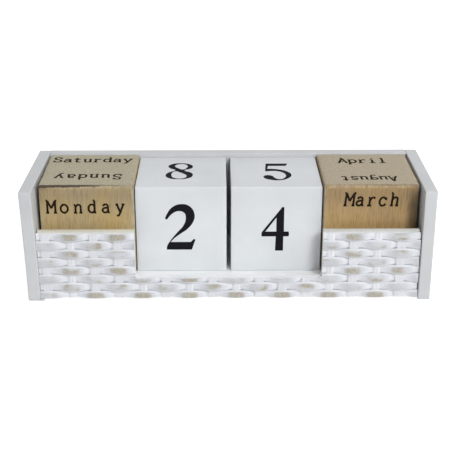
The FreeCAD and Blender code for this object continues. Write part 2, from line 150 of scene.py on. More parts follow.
def painted_cube():
    """Off-white enamel, sprayed and rubbed smooth on beech: cooler and cleaner than the case, and a
    little greyer upwards as a painted shade."""
    low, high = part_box("tens_cube")
    material, tree, shader = new_material("enamel_offwhite_sprayed_on_beech", roughness=0.4)
    tone = add(tree, "ValToRGB", {0: lumps(tree, (30, 30, 30))},
               stops=[(0.30, "#d9dde0"), (0.70, "#e1e5e8")])[0]
    # painted shade: the enamel darkens a little towards the top
    painted_shade_upwards = zone(tree, (place_on_piece(tree)["Z"], low.z + 15 * MM, high.z))
    tone = lay(tree, tone, "#f3f3f4", painted_shade_upwards, blend="MULTIPLY")
    rubbed = lumps(tree, (0.8, 0.8, 12), detail=2)
    finish_surface(tree, shader, tone, rubbed, relief_mm=0.04, strength=0.2)
    return material


def crack_and_scorch(tree, tone, place, low, high):
    """A crack along the top edge of the front, widest and darkest at its left end, where the wood
    is scorched brown."""
    depth = add(tree, "Math", {0: high.z, 1: place["Z"]}, operation="SUBTRACT")[0]
    scorch = zone(tree, (place["X"], low.x + 13 * MM, low.x + 3 * MM), (depth, 4.5 * MM, 1.8 * MM),
                  (place["Y"], low.y + 1.5 * MM, low.y + 0.9 * MM))
    tone = lay(tree, tone, "#7a5c44", scorch, 0.6)
    course = zone(tree, (lumps(tree, (9, 60, 60), roughness=0.6), 0.3, 0.7, 0.85 * MM, -0.15 * MM))
    width = zone(tree, (place["X"], low.x + 2 * MM, low.x + 50 * MM, 1.25, 0.3),
                 (lumps(tree, (3, 60, 60), roughness=0.7), 0.3, 0.7, 0.6, 1.2))
    off = add(tree, "Math", {0: depth, 1: course}, operation="SUBTRACT")[0]
    off = add(tree, "Math", {0: off}, operation="ABSOLUTE")[0]
    off = add(tree, "Math", {0: off, 1: width}, operation="DIVIDE")[0]
    crack = zone(tree, (off, 1.4 * MM, 0.9 * MM), (place["Y"], low.y + 2.6 * MM, low.y + 1.6 * MM),
                 (place["X"], low.x + 34 * MM, low.x + 66 * MM, 0.95, 0.2))
    return lay(tree, tone, "#33241a", crack)


def edge_line_and_painted_shadow(tree, tone, place, low, high):
    """A darker line along the top edge of the front, and a painted shadow of the side panel down
    its right, darker lower down.
    """
    darker_top_edge = zone(tree, (place["Z"], high.z - 1.3 * MM, high.z - 0.7 * MM),
                  (place["Y"], low.y + 2.2 * MM, low.y + 1.2 * MM),
                  (place["X"], low.x + 2 * MM, low.x + 40 * MM, 0.5, 1.0),
                  (lumps(tree, (4, 60, 60)), 0.35, 0.65, 0.6, 1.0))
    tone = lay(tree, tone, "#c9c2ba", darker_top_edge, blend="MULTIPLY")
    # painted shadow: the right side panel's shadow on the front, darkest near the right edge and
    # lower down
    painted_panel_shadow = zone(tree, (place["X"], high.x - 11 * MM, high.x - 5 * MM),
                   (place["Y"], low.y + 1.5 * MM, low.y + 0.9 * MM),
                   (place["Z"], high.z - 3 * MM, high.z - 16 * MM, 0.3, 1.0))
    return lay(tree, tone, "#7d7a76", painted_panel_shadow, 0.75, blend="MULTIPLY")


def worn_wood(name, node, dark, light, patch, dust, mark_front):
    """Old sawn softwood, sanded and worn by use: upright grain on the sides, with a painted shade
    that makes it darker and greyer near the top than lower down, and on top speckled end grain,
    grey with dust. Its edges are paler where the skin has worn off, and the front of its sides is
    painted grey as shade in the narrow gaps beside it. mark_front adds the marks of one block's own
    front."""
    low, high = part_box(node)
    material, tree, shader = new_material(name, roughness=0.62)
    place = place_on_piece(tree)
    grain = add(tree, "Mix", {0: 0.25, 2: lumps(tree, (0.7, 0.7, 22), detail=5, roughness=0.62),
                              3: lumps(tree, (6, 9, 150))})[0]
    tone = add(tree, "ValToRGB", {0: grain}, stops=[(0.32, dark), (0.66, light)])[0]
    tone = lay(tree, tone, patch, zone(tree, (lumps(tree, (20, 20, 26)), 0.42, 0.68, 0, 0.6)))
    # painted shade: darker and greyer near the top, so the lower front reads lighter
    painted_shade_upwards = zone(tree, (place["Z"], high.z - 30 * MM, high.z - 8 * MM))
    tone = lay(tree, tone, "#d5d5dc", painted_shade_upwards, blend="MULTIPLY")
    half = (high.x - low.x) / 2
    aside = add(tree, "Math", {0: place["X"], 1: low.x + half}, operation="SUBTRACT")[0]
    aside = add(tree, "Math", {0: aside}, operation="ABSOLUTE")[0]
    rim = zone(tree, (aside, half - 3.2 * MM, half - 0.5 * MM))
    brim = zone(tree, (place["Z"], high.z - 3.2 * MM, high.z - 1.8 * MM))
    edge = add(tree, "Math", {0: rim, 1: brim}, operation="MAXIMUM")[0]
    worn = zone(tree, (lumps(tree, (2.5, 2.5, 5), detail=4, roughness=0.6), 0.36, 0.56))
    tone = lay(tree, tone, "#c3b491", edge, worn, 0.5)
    # painted shade: the front of the side faces, seen in the narrow gaps beside the block, is
    # greyed
    corner = zone(tree, (aside, half - 1.0 * MM, half - 0.4 * MM),
                  (place["Y"], low.y + 12 * MM, low.y + 3 * MM))
    tone = lay(tree, tone, "#9a968c", corner, 0.7)
    speckle = add(tree, "ValToRGB", {0: lumps(tree, (0.9, 1.3, 30), detail=2, roughness=0.7)},
                  stops=[(0.36, dust[0]), (0.60, dust[1])])[0]
    tone = lay(tree, tone, speckle,
               zone(tree, (place["Z"], high.z - 0.9 * MM, high.z - 0.2 * MM, 0, 0.85)))
    tone = mark_front(tree, tone, place, low, high)
    pores = add(tree, "ValToRGB", {0: lumps(tree, (0.8, 0.8, 11), detail=2, roughness=0.7)},
                stops=[(0.33, 0.72), (0.50, 1.0)])[0]
    tone = lay(tree, tone, pores, 1.0, blend="MULTIPLY")
    finish_surface(tree, shader, tone, grain, relief_mm=0.2, strength=0.5)
    return material


def whitewashed_cane(name, fibre_mm, worn):
    """Split cane, woven dry and whitewashed by brush: fine fibre lines along its length, whitest in
    the hollows, where the wash pools and painted light is laid against their shade. Where the
    strands stand out the furthest they are greyer, the wash rubbed thinner and painted shade laid
    on, and rubbed through to tan cane in soft uneven patches, except next to the side panels. The
    lowest row is rubbed the most, from sliding on the desk."""
    low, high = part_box("weave_row_1")
    material, tree, shader = new_material(name, roughness=0.7)
    place = place_on_piece(tree)
    fibre = lumps(tree, fibre_mm, roughness=0.6)
    wash = add(tree, "ValToRGB", {0: fibre}, stops=[(0.32, "#cfd1d5"), (0.60, "#dddfe4")])[0]
    across = add(tree, "Math", {0: place["Z"], 1: (low.z + high.z) / 2}, operation="SUBTRACT")[0]
    across = add(tree, "Math", {0: across, 1: ROW_PITCH / 2}, operation="PINGPONG")[0]
    # greyer on the crests: the wash rubbed thinner there, and painted shade
    thinner_wash_and_painted_shade = zone(tree, (place["Y"], low.y + 1.5 * MM, low.y + 0.5 * MM),
                (across, 3.35 * MM, 2.3 * MM),
                (lumps(tree, (9, 30, 5)), 0.35, 0.65, 0.5 * worn, worn))
    wash = lay(tree, wash, "#c5c8ce", thinner_wash_and_painted_shade)
    # whiter in the hollows: the wash pools there, and painted light against their shade
    pooled_wash_and_painted_light = zone(tree, (place["Y"], low.y + 1.1 * MM, low.y + 2.1 * MM, 0, 0.7))
    wash = lay(tree, wash, "#e4e6ea", pooled_wash_and_painted_light)
    crown = zone(tree, (place["Y"], low.y + 0.62 * MM, low.y + 0.15 * MM),
                 (across, 3.4 * MM, 2.0 * MM))
    uneven = zone(tree, (lumps(tree, (17, 40, 6.7), detail=2), 0.42, 0.58, 0.15, 1.0))
    bottom = zone(tree, (place["Z"], 8.0 * MM, 6.8 * MM, 0, 0.95))
    strong = add(tree, "Math", {0: uneven, 1: bottom}, operation="MAXIMUM")[0]
    hatch = zone(tree, (lumps(tree, (1.0, 2, 2.2), roughness=0.65), 0.36, 0.60, 0.55, 1.0))
    aside = add(tree, "Math", {0: place["X"]}, operation="ABSOLUTE")[0]
    spared = zone(tree, (aside, 134 * MM, 128 * MM, 0.2, 1.0))
    tone = lay(tree, wash, "#9e937b", crown, strong, hatch, spared, 0.88)
    finish_surface(tree, shader, tone, fibre, relief_mm=0.12, strength=0.5)
    return material


def front_board_paint():
    """Thin plywood under the same white, brushed, and darker and creamier along the tops of the
    wings, yellower on the left wing than on the right."""
    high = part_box("drawer_front_board")[1]
    material, tree, shader = new_material("paint_white_brushed_on_plywood", roughness=0.6)
    place = place_on_piece(tree)
    streak = lumps(tree, (24, 1.2, 6), detail=4)
    tone = add(tree, "ValToRGB", {0: streak}, stops=[(0.30, "#dbddde"), (0.66, "#e5e7e8")])[0]
    # darker and creamier along the tops of the wings, more yellow on the left
    wing_top_tint = lay(tree, srgb("#c6c2b1"), "#c1c0ba", zone(tree, (place["X"], -70 * MM, 70 * MM)))
    near_wing_top = zone(tree, (place["Z"], high.z - 6 * MM, high.z - 2 * MM, 0, 0.9))
    tone = lay(tree, tone, wing_top_tint, near_wing_top)
    finish_surface(tree, shader, tone, streak, relief_mm=0.1, strength=0.4)
    return material


def painted_steel():
    """Nail heads under the case's paint, worn a little greyer where the steel shows through."""
    material, tree, shader = new_material("paint_offwhite_thin_on_steel", roughness=0.4)
    tone = add(tree, "ValToRGB", {0: lumps(tree, (0.9, 0.9, 0.9))},
               stops=[(0.35, "#9fa1a3"), (0.58, "#c0c2c5")])[0]
    stipple = lumps(tree, (0.4, 0.4, 0.4), detail=2)
    finish_surface(tree, shader, tone, stipple, relief_mm=0.03, strength=0.3)
    return material


def plain_pine():
    """Bare planed pine: straight pale grain along the board with darker late-wood lines."""
    material, tree, shader = new_material("pine_planed_bare", roughness=0.65)
    lines = lumps(tree, (120, 2.4, 2.4), detail=4, roughness=0.55)
    tone = add(tree, "ValToRGB", {0: lines}, stops=[(0.34, "#b3925f"), (0.60, "#d4bb8c")])[0]
    finish_surface(tree, shader, tone, lines, relief_mm=0.1, strength=0.3)
    return material


def stamping_ink(name, colour, thin_colour):
    """Ink pressed on the face: near black, dead matt, thinner in small flecks."""
    material, tree, shader = new_material(name, roughness=0.85, ior=INK_IOR)
    fleck = lumps(tree, (0.6, 0.6, 0.6))
    tone = add(tree, "ValToRGB", {0: fleck}, stops=[(0.30, thin_colour), (0.46, colour)])[0]
    finish_surface(tree, shader, tone, fleck, relief_mm=0.02, strength=0.3)
    return material


PAINT = painted_board()
ENAMEL = painted_cube()
CANE = whitewashed_cane("cane_split_woven_whitewashed", fibre_mm=(14, 3, 0.5), worn=1.0)
NAIL_PAINT = painted_steel()
REED = whitewashed_cane("reed_round_whitewashed", fibre_mm=(0.5, 3, 14), worn=0.2)
BOARD_PAINT = front_board_paint()
PINE = plain_pine()
DIGIT_INK = stamping_ink("ink_black_transfer", "#151519", "#212126")
WORD_INK = stamping_ink("ink_brown_black_stamped", "#1d150d", "#3a2c1c")
OLD_WOOD = worn_wood("softwood_sawn_handled_yellow", "weekday_block", "#ad9a72", "#c4af83",
                     "#c6a86b", ("#979179", "#bbb5a0"), crack_and_scorch)
OLD_WOOD_WARM = worn_wood("softwood_sawn_handled_warm", "month_block", "#a88d5e", "#c2a273",
                          "#be9d62", ("#988e78", "#bcb19d"), edge_line_and_painted_shadow)


# ---------------- shaping by hand

SHARP_DEGREES = 60
BEVEL_SEGMENTS = 3


def deselect():
    """Nothing selected, so that the next operator acts on its own piece alone."""
    if bpy.context.object and bpy.context.object.mode != "OBJECT":
        bpy.ops.object.mode_set(mode="OBJECT")
    bpy.ops.object.select_all(action="DESELECT")


def take(piece):
    """Selects one piece and makes it the active one."""
    deselect()
    piece.select_set(True)
    bpy.context.view_layer.objects.active = piece


@contextmanager
def editing(piece):
    """Edit mode on one piece, with all of its mesh selected at first."""
    take(piece)
    bpy.ops.object.mode_set(mode="EDIT")
    bpy.ops.mesh.select_all(action="SELECT")
    yield
    bpy.ops.object.mode_set(mode="OBJECT")


def start_box(name, low, high):
    """A box primitive at its size and place, its object at the origin."""
    deselect()
    bpy.ops.mesh.primitive_cube_add(size=1, location=(low + high) / 2)
    piece = bpy.context.object
    piece.name = piece.data.name = name
    piece.scale = high - low
    bpy.ops.object.transform_apply(location=True, rotation=False, scale=True)
    return piece


def mesh_from_curve(curve, merge_mm, placing=Matrix()):
    """Turns a curve into a placed and closed mesh with its faces outwards."""
    piece = bpy.data.objects.new(curve.name, curve)
    bpy.context.collection.objects.link(piece)
    take(piece)
    bpy.ops.object.convert(target="MESH")
    piece = bpy.context.object
    piece.data.name = piece.name
    piece.data.transform(placing)
    with editing(piece):
        bpy.ops.mesh.remove_doubles(threshold=merge_mm * MM)
        bpy.ops.mesh.normals_make_consistent(inside=False)
    return piece


def join(name, pieces):
    """Several pieces made one, with this name."""
    deselect()
    for piece in pieces:
        piece.select_set(True)
    bpy.context.view_layer.objects.active = pieces[0]
    bpy.ops.object.join()
    piece = bpy.context.object
    piece.name = piece.data.name = name
    return piece


def apply_modifiers(piece):
    """Applies the piece's modifiers from the first to the last."""
    take(piece)
    for modifier in list(piece.modifiers):
        bpy.ops.object.modifier_apply(modifier=modifier.name)


def cut_with(piece, cutter):
    """Cuts the cutter's space out of the piece."""
    modifier = piece.modifiers.new("cutout", "BOOLEAN")
    modifier.operation = "DIFFERENCE"
    modifier.solver = "EXACT"
    modifier.object = cutter
    apply_modifiers(piece)


def trim(piece, height, waste):
    """Cuts off what lies beyond a height, upwards or downwards, and closes the cut."""
    with editing(piece):
        bpy.ops.mesh.bisect(plane_co=(0, 0, height), plane_no=waste, use_fill=True,
                            clear_outer=True, threshold=0.001 * MM)


def smooth(piece, degrees=35):
    """Shades the piece smooth across edges flatter than this."""
    take(piece)
    bpy.ops.object.shade_smooth_by_angle(angle=math.radians(degrees))


def bevel_sharp_edges(radius_mm):
    """Rounds the sharp edges of the piece that is being edited, and leaves them selected."""
    bpy.ops.mesh.select_all(action="DESELECT")
    bpy.ops.mesh.select_mode(type="EDGE")
    bpy.ops.mesh.edges_select_sharp(sharpness=math.radians(SHARP_DEGREES))
    bpy.ops.mesh.bevel(offset=radius_mm * MM, segments=BEVEL_SEGMENTS, profile=0.5, affect="EDGES")


def clouds(name, size_mm):
    """A procedural cloud pattern for a Displace modifier, with lumps of about this size."""
    texture = bpy.data.textures.new(name, "CLOUDS")
    texture.noise_scale = size_mm * MM
    texture.noise_depth = 2
    return texture


def round_edges(piece, radius_mm, cuts, wear_mm, lump_mm):
    """Subdivides a box, rounds its sharp edges, and wears those edges back unevenly."""
    with editing(piece):
        bpy.ops.mesh.subdivide(number_cuts=cuts)
        bevel_sharp_edges(radius_mm)
        if wear_mm:
            edge = piece.vertex_groups.new(name="edge")
            piece.vertex_groups.active_index = edge.index
            bpy.ops.object.vertex_group_assign()
    if wear_mm:
        worn = piece.modifiers.new("worn_edges", "DISPLACE")
        worn.texture = clouds(piece.name + "_wear", lump_mm)
        worn.texture_coords = "LOCAL"
        worn.vertex_group = "edge"
        worn.mid_level = 1.0
        worn.strength = wear_mm * MM
        apply_modifiers(piece)
        piece.vertex_groups.clear()
    smooth(piece)


def finish_piece(piece, material, body, slot, *nodes):
    """Gives the piece its finish and its body, and hides the CAD nodes that it stands for."""
    piece.data.materials.clear()
    piece.data.materials.append(material)
    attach(piece, body)
    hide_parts(*nodes)


# ---------------- case and drawer boards

LEAN = 1.9 * MM
WING_WIDTH = 70.9 * MM
LIP = 1.75 * MM  # how far the front's low middle stands up past the tray floor
CUTOUT_ROUND = 3.0 * MM
FRONT_EDGE_MM = 0.45
BOARD_LUMP_MM = 9.0


def make_board(node, name, material, body, slot, edge_mm, cuts, wear_mm=0.0):
    """A board of the CAD node's size with softened, slightly uneven edges."""
    low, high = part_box(node)
    piece = start_box(name, low, high)
    round_edges(piece, edge_mm, cuts, wear_mm, BOARD_LUMP_MM)
    finish_piece(piece, material, body, slot, node)


def lean(y, z):
    """How far the left side panel, a warped board, stands out to the left at this depth and height:
    the most at the top of its front edge, nothing at its foot or along its back edge."""
    low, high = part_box("left_side_panel")
    along = (high.y - y) / (high.y - low.y)
    up = max(0.0, z - low.z) / (high.z - low.z)
    return LEAN * along * up ** 1.5


def make_case():
    """Side panels, back panel and runners under the case's paint, and the tray floor under the
    front board's paint.
    """
    for side in ("left", "right"):
        make_board(side + "_side_panel", side + "_side_board", PAINT, "case", "case_paint",
                   edge_mm=0.5, cuts=14, wear_mm=0.12)
        make_board(side + "_runner", side + "_runner_lath", PAINT, "case", "case_paint",
                   edge_mm=0.3, cuts=6)
    for vertex in bpy.data.objects["left_side_board"].data.vertices:
        vertex.co.x -= lean(vertex.co.y, vertex.co.z)
    make_board("back_panel", "back_board", PAINT, "case", "case_paint",
               edge_mm=0.5, cuts=24, wear_mm=0.12)
    make_board("tray_floor", "tray_floor_board", BOARD_PAINT, "case", "case_paint",
               edge_mm=0.3, cuts=6)


def make_drawer_box():
    """Drawer bottom and walls in bare pine."""
    for part in ("bottom", "left_wall", "right_wall", "back_wall"):
        make_board("drawer_" + part, "drawer_%s_board" % part, PINE, "drawer", "drawer_wood",
                   edge_mm=0.35, cuts=6)


def cutout_block():
    """A block of the space above the low middle of the drawer front, to cut it out with."""
    low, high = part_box("drawer_front_board")
    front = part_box("weave_row_1")[0].y
    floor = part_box("tray_floor")[1].z
    margin = 10 * MM
    piece = start_box("cutout_block", Vector((low.x + WING_WIDTH, front - margin, floor + LIP)),
                      Vector((high.x - WING_WIDTH, high.y + margin, high.z + margin)))
    with editing(piece):
        mesh = bmesh.from_edit_mesh(piece.data)
        for edge in mesh.edges:
            first, second = (vertex.co for vertex in edge.verts)
            along_y = abs(first.y - second.y) > margin
            edge.select = along_y and max(first.z, second.z) < floor + 2 * LIP
        bmesh.update_edit_mesh(piece.data)
        bpy.ops.mesh.bevel(offset=CUTOUT_ROUND, segments=8, profile=0.5, affect="EDGES")
    return piece


def make_front_board(cutter):
    """The board behind the weave: two wings and a low middle, with softened edges."""
    low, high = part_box("drawer_front_board")
    piece = start_box("front_backing_board", low, high)
    cut_with(piece, cutter)
    with editing(piece):
        bevel_sharp_edges(FRONT_EDGE_MM)
    smooth(piece)
    finish_piece(piece, BOARD_PAINT, "drawer", "front_board_paint", "drawer_front_board")


# ---------------- weave

STAKE_PITCH = 17.34 * MM
SIDE_MARGIN = 6.9 * MM
STAKE_DRIFT = 0.35 * MM
LEFT_CROWDING = 1.4 * MM
STRAND_THICKNESS = 2.2 * MM
STRAND_STEPS = 240
STRAND_RIBS = 5
RIB_GROOVE = 0.07 * MM
LENS = 0.18  # the share by which a strand is wider over a reed and narrower behind it
SPREAD = 0.30  # the share by which its lower half is wider behind a reed
SWAY, SWAY_WAVE = 0.10 * MM, 31 * MM
PRESS, PRESS_WAVE = 0.015, 12 * MM
TWIST, TWIST_WAVE = math.radians(2.2), 15 * MM
START_REACH = 0.1 * MM  # how far a strand's ends stand past the row's CAD node
END_REACH = 0.9 * MM
TOP_TRIM = 0.85 * MM
FILLED_ABOVE = 2.0 * MM  # from here up, paint fills the slit behind the top row
REED_SPACING = 2.1 * MM
REED_STEPS = 12
REED_BOW, REED_WAVE = 0.15 * MM, 16 * MM
ROUND_DEGREES = 50


def sweep(name, path, section, twist, widths=None, tilts=None):
    """A closed mesh of the section carried along the path, ends capped."""
    curve = bpy.data.curves.new(name, "CURVE")
    curve.dimensions = "3D"
    curve.twist_mode = twist
    curve.use_fill_caps = True
    curve.bevel_mode = "OBJECT"
    curve.bevel_object = section
    spline = curve.splines.new("POLY")
    spline.points.add(len(path) - 1)
    for number, (point, place) in enumerate(zip(spline.points, path)):
        point.co = (*place, 1.0)
        point.radius = widths[number] if widths else 1.0
        point.tilt = tilts[number] if tilts else 0.0
    return mesh_from_curve(curve, merge_mm=0.001)


def section_curve(name, outline):
    """A closed flat curve to sweep, from points in metres."""
    curve = bpy.data.curves.new(name, "CURVE")
    curve.dimensions = "2D"
    curve.fill_mode = "NONE"
    spline = curve.splines.new("POLY")
    spline.points.add(len(outline) - 1)
    for point, (x, y) in zip(spline.points, outline):
        point.co = (x, y, 0.0, 1.0)
    spline.use_cyclic_u = True
    piece = bpy.data.objects.new(name, curve)
    bpy.context.collection.objects.link(piece)
    return piece


def strand_outline(width):
    """The cut end of a strand: a flat bundle of cane splits side by side, thinner at its edges."""
    points = []
    for face in (1, -1):
        for rib in range(STRAND_RIBS):
            for part in (0.04, 0.3, 0.7, 0.96):
                across = (rib + part) / STRAND_RIBS - 0.5
                swell = 1 - 0.5 * abs(2 * across) ** 3
                groove = RIB_GROOVE * (1 - math.sin(math.pi * part)) ** 2
                rise = STRAND_THICKNESS / 2 * swell - groove
                points.append((face * rise, face * across * width))
    return points


def reed_pair_outline(radius):
    """The cut end of two round reeds side by side under thick paint: a shallow groove between them,
    and a long soft slope on both sides, where they lie on the strands behind."""
    half = REED_SPACING / 2
    slope = [(0.50, -half / radius), (0.60, -0.45), (0.64, 0.0), (0.60, 0.40), (0.50, 0.80),
             (0.36, 1.25), (0.20, 1.75), (0.0, 2.25), (-0.30, 2.7), (-1.0, 2.9)]
    points = [(front * radius, half + across * radius) for front, across in slope]
    return points + [(front, -across) for front, across in reversed(points[1:])]


def stake_place(number, low_x):
    """The place along X of a stake: evenly spaced, each a little off, more so at the left end."""
    off = STAKE_DRIFT * noise.noise(Vector((number * 1.37, 0.6, 3.1)))
    crowding = -LEFT_CROWDING * math.exp(-number / 1.6)
    return low_x + SIDE_MARGIN + number * STAKE_PITCH + off + crowding


def stakes_along(x, low_x):
    """How many stakes the place x is along from the first, with fractions in between."""
    number = math.floor((x - low_x - SIDE_MARGIN) / STAKE_PITCH)
    if x < stake_place(number, low_x):
        number -= 1
    if x >= stake_place(number + 1, low_x):
        number += 1
    start = stake_place(number, low_x)
    return number + (x - start) / (stake_place(number + 1, low_x) - start)


def wave_depth(turns, amplitude):
    """How far a strand stands behind the weave's middle plane, turns stakes on from where it stands
    out the most: arcs that run into each other."""
    radius = (STAKE_PITCH ** 2 / 4 + amplitude ** 2) / (2 * amplitude)
    along = turns % 2 * STAKE_PITCH
    from_crest = min(along, 2 * STAKE_PITCH - along)
    if from_crest <= STAKE_PITCH / 2:
        return radius - amplitude - math.sqrt(radius ** 2 - from_crest ** 2)
    from_trough = STAKE_PITCH - from_crest
    return amplitude - radius + math.sqrt(radius ** 2 - from_trough ** 2)


def make_strand(number, section, cutter):
    """One woven row: it sways and twists a little, and ends at the drawer front's outline. Paint
    fills the slit between the top row and the board."""
    low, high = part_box("weave_row_%d" % number)
    top_low, top_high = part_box("weave_row_1")
    width = top_high.z - top_low.z
    centre = Vector((0, (low.y + high.y) / 2, high.z - width / 2))
    amplitude = (high.y - low.y - STRAND_THICKNESS) / 2
    start = low.x - lean(centre.y, centre.z) - START_REACH
    end = high.x + END_REACH * (0.7 + 0.3 * math.cos(2.3 * number))
    path = []
    tilts = []
    widths = []
    for step in range(STRAND_STEPS + 1):
        x = start + (end - start) * step / STRAND_STEPS
        sway = noise.noise(Vector((x / SWAY_WAVE, number * 3.7, 0.0)))
        press = noise.noise(Vector((x / PRESS_WAVE, number * 5.3, 4.0)))
        twist = noise.noise(Vector((x / TWIST_WAVE, number * 7.1, 9.0)))
        depth = wave_depth(stakes_along(x, low.x) + number % 2, amplitude)
        path.append(Vector((x, centre.y + depth * (0.97 + 0.03 * press), centre.z + SWAY * sway)))
        tilts.append(TWIST * twist)
        widths.append(1.0 - LENS * depth / amplitude + PRESS * press)
    piece = sweep("woven_strand_%d" % number, path, section, "Z_UP", widths, tilts)
    board_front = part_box("drawer_front_board")[0].y + 0.02 * MM
    for vertex in piece.data.vertices:
        step = round((vertex.co.x - start) / (end - start) * STRAND_STEPS)
        if vertex.co.z < centre.z:
            pressed = min(1.0, max(0.0, (vertex.co.y - centre.y) / amplitude)) ** 0.8
            vertex.co.z -= (centre.z - vertex.co.z) * SPREAD * pressed
        elif number == 1 and vertex.co.y > path[step].y:
            filled = min(1.0, (vertex.co.z - centre.z) / FILLED_ABOVE)
            vertex.co.y += (board_front - vertex.co.y) * filled
    if number == 1:
        trim(piece, high.z - TOP_TRIM, Vector((0, 0, 1)))
    if low.z > centre.z - width / 2 + 0.2 * MM:
        trim(piece, low.z, Vector((0, 0, -1)))
    if low.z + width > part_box("tray_floor")[1].z + LIP:
        cut_with(piece, cutter)
    smooth(piece, ROUND_DEGREES)
    finish_piece(piece, CANE, "drawer", "whitewashed_cane", "weave_row_%d" % number)


def make_reeds():
    """Upright pairs of round reeds, each slightly bowed, joined into one piece."""
    low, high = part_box("weave_stakes")
    board_low, board_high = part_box("drawer_front_board")
    wing_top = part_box("weave_row_1")[1].z - TOP_TRIM + 0.15 * MM
    middle_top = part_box("tray_floor")[1].z + LIP
    section = section_curve("reed_section", reed_pair_outline((high.y - low.y) / 2))
    reeds = []
    stakes = math.floor((board_high.x - board_low.x - SIDE_MARGIN) / STAKE_PITCH) + 1
    for number in range(stakes):
        x = stake_place(number, board_low.x)
        in_wing = not board_low.x + WING_WIDTH < x < board_high.x - WING_WIDTH
        top = wing_top if in_wing else middle_top
        path = []
        for step in range(REED_STEPS + 1):
            z = low.z + (top - low.z) * step / REED_STEPS
            bow = REED_BOW * noise.noise(Vector((number * 2.7, z / REED_WAVE, 2.0)))
            path.append(Vector((x + bow, (low.y + high.y) / 2, z)))
        reeds.append(sweep("reed_pair_%d" % number, path, section, "MINIMUM"))
    piece = join("upright_reeds", reeds)
    smooth(piece, ROUND_DEGREES)
    bpy.data.objects.remove(section)
    finish_piece(piece, REED, "drawer", "whitewashed_cane", "weave_stakes")


def make_weave(cutter):
    """All rows and stakes of the woven front."""
    low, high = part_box("weave_row_1")
    section = section_curve("strand_section", strand_outline(high.z - low.z))
    rows = sum(1 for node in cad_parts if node.startswith("weave_row_"))
    for number in range(1, rows + 1):
        make_strand(number, section, cutter)
    bpy.data.objects.remove(section)
    make_reeds()


# ---------------- blocks and nails

BLOCK_CUTS = 23
BLOCK_LUMP_MM = 6.0
NAIL_RADIUS = 0.7 * MM
NAIL_LENGTH = 24 * MM


def make_block(node, name, material, slot, radius_mm, wear_mm):
    """A loose cube with rounded, unevenly worn edges."""
    low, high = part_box(node)
    piece = start_box(name, low, high)
    round_edges(piece, radius_mm, BLOCK_CUTS, wear_mm, BLOCK_LUMP_MM)
    finish_piece(piece, material, node, slot, node)


def make_nail_heads():
    """The heads of the case's nails: small domes under the paint, a hair proud of both sides."""
    low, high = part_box("case_nails")
    heads = []
    for height in (low.z + NAIL_RADIUS, (low.z + high.z) / 2, high.z - NAIL_RADIUS):
        for side, face in ((-1, low.x), (1, high.x)):
            deselect()
            bpy.ops.mesh.primitive_cylinder_add(
                vertices=20, radius=NAIL_RADIUS, depth=NAIL_LENGTH, rotation=(0, math.pi / 2, 0),
                location=(face - side * NAIL_LENGTH / 2, (low.y + high.y) / 2, height))
            head = bpy.context.object
            bpy.ops.object.transform_apply(location=True, rotation=True, scale=True)
            with editing(head):
                mesh = bmesh.from_edit_mesh(head.data)
                for end in mesh.faces:
                    end.select = end.normal.x * side > 0.9
                bmesh.update_edit_mesh(head.data)
                for inset_mm, rise_mm in ((0.35, 0.06), (0.25, 0.03)):
                    bpy.ops.mesh.inset(thickness=inset_mm * MM)
                    bpy.ops.transform.translate(value=(side * rise_mm * MM, 0, 0))
            heads.append(head)
    piece = join("nail_heads", heads)
    smooth(piece, ROUND_DEGREES)
    finish_piece(piece, NAIL_PAINT, "case", "nail_steel", "case_nails")


make_case()
make_drawer_box()
cutter = cutout_block()
make_front_board(cutter)
make_weave(cutter)
bpy.data.objects.remove(cutter)
make_block("weekday_block", "weekday_wood", OLD_WOOD, "aged_wood", radius_mm=1.0, wear_mm=0.7)
make_block("month_block", "month_wood", OLD_WOOD_WARM, "aged_wood", radius_mm=1.0, wear_mm=0.7)
make_block("tens_cube", "tens_painted", ENAMEL, "cube_paint", radius_mm=0.6, wear_mm=0.2)
make_block("units_cube", "units_painted", ENAMEL, "cube_paint", radius_mm=0.6, wear_mm=0.2)
make_nail_heads()


# ---------------- ink

INK_THICKNESS = 0.12 * MM
INK_MERGE_MM = 0.002
STROKE = 0.165
LETTER_DRIFT = 0.03
DIGIT_UNIT = 38 * MM
DIGIT_HEIGHT = 36.5 * MM
ROUND = "AUTO"
SHARP = "VECTOR"
ACROSS, UP, BACK = (1, 0, 0), (0, 0, 1), (0, 1, 0)
TURNED, FORWARD = (-1, 0, 0), (0, -1, 0)

